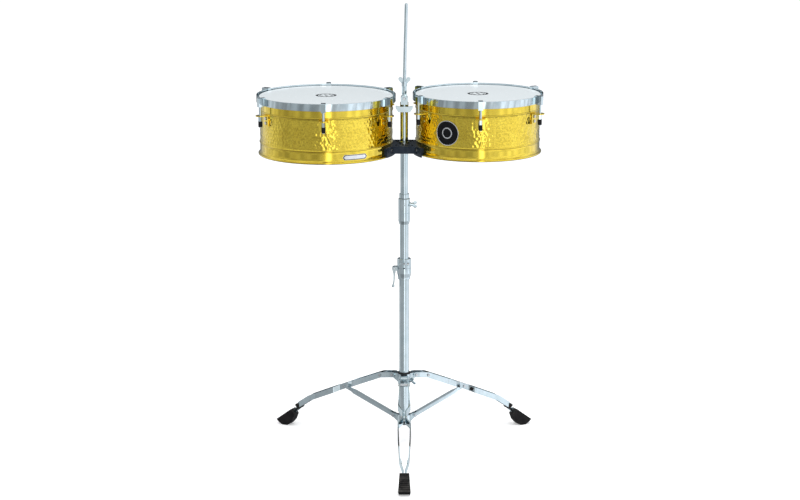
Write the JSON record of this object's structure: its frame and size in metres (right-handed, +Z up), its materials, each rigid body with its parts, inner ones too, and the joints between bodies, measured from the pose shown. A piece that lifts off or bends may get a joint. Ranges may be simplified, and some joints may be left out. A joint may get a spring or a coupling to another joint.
{
  "type": "timbales",
  "caption": "Pair of shallow hammered brass timbales on a telescoping chrome tripod stand, with a tilting cowbell rod between the drums.",
  "frame": {"origin": "on the floor, under the axis of the stand's post", "axes": "+Z up along the post, +X towards the small drum, -Y towards the player and the front leg"},
  "size_m": [0.8149, 0.6765, 1.3059],
  "materials": {
    "brass": "polished, hand-hammered between the beads",
    "chrome": "mirror chrome plate",
    "bright_steel": "zinc-plated, satin",
    "flesh_hoop": "satin",
    "head_film": "smooth white film with a printed ring",
    "black_casting": "semi-gloss black powder coat",
    "black_nylon": "moulded, satin",
    "foot_rubber": "moulded, ribbed",
    "badge_enamel": "black enamel in a silver ring",
    "plaque_metal": "brushed, blank"
  },
  "bodies": {
    "stand_base": {"lower_tube": "chrome", "tube_end_plug": "black_nylon", "lower_hub": "chrome", "hub_pivot_bolts": "bright_steel", "lower_clamp": "chrome", "lower_clamp_bush": "black_nylon", "clamp_plunger": "bright_steel", "lever_pin": "bright_steel", "lower_lock_ring": "chrome", "lower_ring_screw": "bright_steel"},
    "lever": {"quick_release_lever": "chrome"},
    "collar": {"leg_collar": "chrome", "collar_bush": "black_nylon"},
    "collar_screw": {"collar_wing_screw": "chrome"},
    "middle_mast": {"middle_tube": "chrome", "upper_clamp": "chrome", "upper_clamp_bush": "black_nylon"},
    "clamp_screw": {"upper_clamp_wing_screw": "chrome"},
    "swivel_ring": {"upper_lock_ring": "chrome"},
    "drum_set": {"upper_tube": "chrome", "cowbell_post": "chrome", "mount_block": "black_casting", "drum_cradles": "black_casting", "cradle_screws": "bright_steel", "block_bolts": "bright_steel", "post_collar": "chrome", "large_shell": "brass", "large_head": "head_film", "large_flesh_hoop": "flesh_hoop", "large_counter_hoop": "chrome", "small_shell": "brass", "small_head": "head_film", "small_flesh_hoop": "flesh_hoop", "small_counter_hoop": "chrome", "lug_brackets": "brass", "lug_screws": "bright_steel", "tuning_rods": "chrome", "tension_nuts": "chrome", "nut_caps": "black_nylon", "small_badge": "badge_enamel", "large_plaque": "plaque_metal", "tilter_base": "chrome", "tilter_pivot_bolt": "bright_steel"},
    "holder_screw": {"holder_wing_screw": "chrome"},
    "tilter": {"tilter_head": "chrome"},
    "rod_nut": {"rod_wing_nut": "chrome"},
    "rod": {"bell_rod": "chrome"},
    "front_brace": {"front_brace": "chrome"},
    "front_leg": {"front_leg_straps": "chrome", "front_leg_bolts": "bright_steel", "front_foot": "foot_rubber"},
    "right_brace": {"right_brace": "chrome"},
    "right_leg": {"right_leg_straps": "chrome", "right_leg_bolts": "bright_steel", "right_foot": "foot_rubber"},
    "left_brace": {"left_brace": "chrome"},
    "left_leg": {"left_leg_straps": "chrome", "left_leg_bolts": "bright_steel", "left_foot": "foot_rubber"}
  },
  "joints": [
    {"name": "lower_height", "type": "slide", "parent": "stand_base", "child": "middle_mast", "axis": [0, 0, 1], "range_m": [-0.098, 0.18]},
    {"name": "swivel", "type": "hinge", "parent": "middle_mast", "child": "swivel_ring", "pos_m": [0, 0, 0.753], "axis": [0, 0, 1], "continuous": true},
    {"name": "upper_height", "type": "slide", "parent": "swivel_ring", "child": "drum_set", "axis": [0, 0, 1], "range_m": [-0.118, 0.15]},
    {"name": "legs_fold", "type": "hinge", "parent": "stand_base", "child": "front_brace", "pos_m": [0, -0.034, 0.09], "axis": [-1, 0, 0], "range_deg": [0, 62]},
    {"name": "front_leg_hinge", "type": "hinge", "parent": "front_brace", "child": "front_leg", "pos_m": [0, -0.205, 0.1525], "axis": [-1, 0, 0], "range_deg": [-124.5, 0]},
    {"name": "right_brace_hinge", "type": "hinge", "parent": "stand_base", "child": "right_brace", "pos_m": [0.02944, 0.017, 0.09], "axis": [0.5, -0.866, 0], "range_deg": [0, 62.5]},
    {"name": "right_leg_hinge", "type": "hinge", "parent": "right_brace", "child": "right_leg", "pos_m": [0.17754, 0.1025, 0.1525], "axis": [0.5, -0.866, 0], "range_deg": [-124.5, 0]},
    {"name": "left_brace_hinge", "type": "hinge", "parent": "stand_base", "child": "left_brace", "pos_m": [-0.02944, 0.017, 0.09], "axis": [0.5, 0.866, 0], "range_deg": [0, 62.5]},
    {"name": "left_leg_hinge", "type": "hinge", "parent": "left_brace", "child": "left_leg", "pos_m": [-0.17754, 0.1025, 0.1525], "axis": [0.5, 0.866, 0], "range_deg": [-124.5, 0]},
    {"name": "collar_hinge", "type": "hinge", "parent": "front_leg", "child": "collar", "pos_m": [0, -0.034, 0.215], "axis": [-1, 0, 0], "range_deg": [0, 62.5]},
    {"name": "collar_screw_turn", "type": "hinge", "parent": "collar", "child": "collar_screw", "pos_m": [0, 0, 0.203], "axis": [0.866, -0.5, 0], "continuous": true},
    {"name": "lever_release", "type": "hinge", "parent": "stand_base", "child": "lever", "pos_m": [-0.0285, 0, 0.539], "axis": [0, 1, 0], "range_deg": [0, 120]},
    {"name": "clamp_screw_turn", "type": "hinge", "parent": "middle_mast", "child": "clamp_screw", "pos_m": [0, 0, 0.728], "axis": [1, 0, 0], "continuous": true},
    {"name": "holder_screw_turn", "type": "hinge", "parent": "drum_set", "child": "holder_screw", "pos_m": [0, 0, 1.0085], "axis": [0, -1, 0], "continuous": true},
    {"name": "rod_tilt", "type": "hinge", "parent": "drum_set", "child": "tilter", "pos_m": [0, 0, 1.036], "axis": [0, 1, 0], "range_deg": [-42, 38]},
    {"name": "rod_nut_turn", "type": "hinge", "parent": "tilter", "child": "rod_nut", "pos_m": [0, 0, 1.071], "axis": [0.0244, 0, 0.9997], "continuous": true},
    {"name": "rod_slide", "type": "slide", "parent": "tilter", "child": "rod", "axis": [0.0244, 0, 0.9997], "range_m": [0, 0.012]}
  ],
  "couplings": [
    {"joint": "front_leg_hinge", "follows": "legs_fold", "ratio": -2},
    {"joint": "right_brace_hinge", "follows": "legs_fold", "ratio": 1},
    {"joint": "right_leg_hinge", "follows": "legs_fold", "ratio": -2},
    {"joint": "left_brace_hinge", "follows": "legs_fold", "ratio": 1},
    {"joint": "left_leg_hinge", "follows": "legs_fold", "ratio": -2},
    {"joint": "collar_hinge", "follows": "legs_fold", "ratio": 1}
  ]
}
